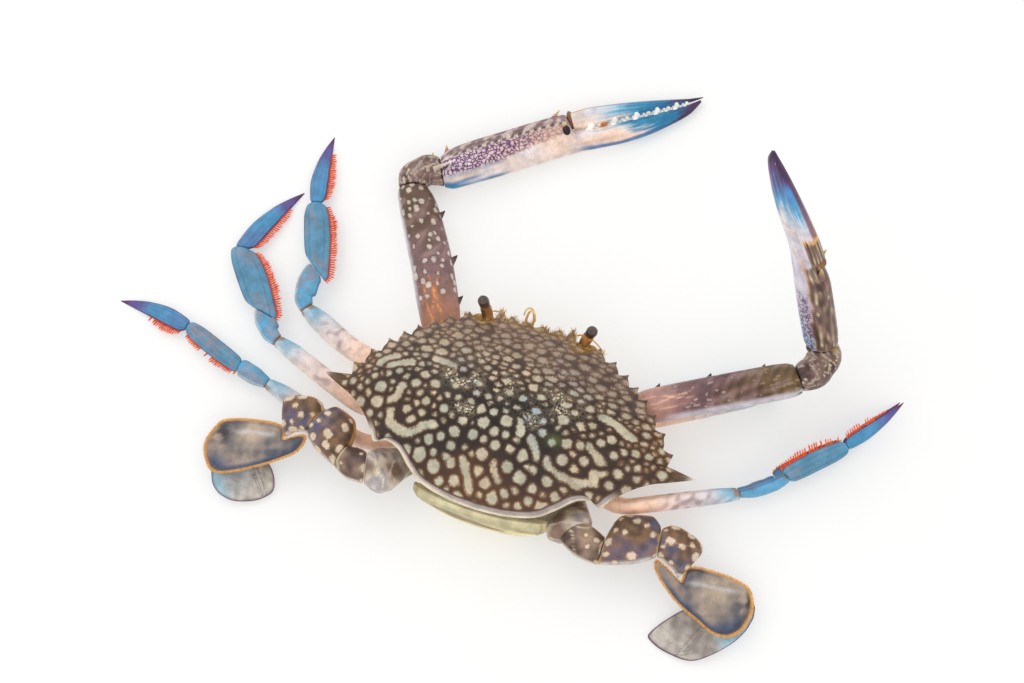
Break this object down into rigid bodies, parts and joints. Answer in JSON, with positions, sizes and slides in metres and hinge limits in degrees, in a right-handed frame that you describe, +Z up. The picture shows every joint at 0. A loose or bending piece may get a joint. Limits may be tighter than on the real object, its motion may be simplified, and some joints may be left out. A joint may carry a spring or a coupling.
{
  "type": "blue swimming crab",
  "caption": "Adult male blue swimming crab with long spiny claws, fringed walking legs and paddle-shaped rear legs, lying on its belly as a still life-size model.",
  "frame": {"origin": "on the floor, under the middle of the body, on the flat underside of the folded abdomen", "axes": "+Z up, the crab faces -Y, +X is the crab's left side"},
  "size_m": [0.3098, 0.2151, 0.1217],
  "materials": {
    "shell": "grainy dark brown shell with rounded pale grey-green spots, satin",
    "claw": "mauve-brown shell with cream spots, and blue fingers with dark purple tips, satin",
    "leg": "smooth blue shell with purple edges, pinkish near the body, and orange-red setal fringes",
    "paddle": "mottled blue-brown shell with cream spots and a short yellow-orange fringe",
    "belly": "smooth cream underside",
    "eye": "dark brown, glossy",
    "feeler": "amber, slightly translucent"
  },
  "bodies": {
    "root": {"carapace": "shell", "thorax": "belly", "abdomen": "belly", "maxilliped_left": "belly", "maxilliped_right": "belly", "eyestalk_left": "feeler", "eyestalk_right": "feeler", "antenna_left": "feeler", "antenna_right": "feeler", "antennule_left": "feeler", "antennule_right": "feeler", "eye_left": "eye", "eye_right": "eye", "claw_base_left": "claw", "claw_merus_left": "claw", "claw_carpus_left": "claw", "claw_palm_left": "claw", "claw_finger_left": "claw", "claw_base_right": "claw", "claw_merus_right": "claw", "claw_carpus_right": "claw", "claw_palm_right": "claw", "claw_finger_right": "claw", "leg1_merus_left": "leg", "leg1_carpus_left": "leg", "leg1_propodus_left": "leg", "leg1_dactyl_left": "leg", "leg2_merus_left": "leg", "leg2_carpus_left": "leg", "leg2_propodus_left": "leg", "leg2_dactyl_left": "leg", "leg3_merus_left": "leg", "leg3_carpus_left": "leg", "leg3_propodus_left": "leg", "leg3_dactyl_left": "leg", "leg1_merus_right": "leg", "leg1_carpus_right": "leg", "leg1_propodus_right": "leg", "leg1_dactyl_right": "leg", "leg2_merus_right": "leg", "leg2_carpus_right": "leg", "leg2_propodus_right": "leg", "leg2_dactyl_right": "leg", "leg3_merus_right": "leg", "leg3_carpus_right": "leg", "leg3_propodus_right": "leg", "leg3_dactyl_right": "leg", "swim_coxa_left": "paddle", "swim_ischium_left": "paddle", "swim_merus_left": "paddle", "swim_carpus_left": "paddle", "swim_propodus_left": "paddle", "swim_dactyl_left": "paddle", "swim_coxa_right": "paddle", "swim_ischium_right": "paddle", "swim_merus_right": "paddle", "swim_carpus_right": "paddle", "swim_propodus_right": "paddle", "swim_dactyl_right": "paddle"}
  },
  "joints": []
}
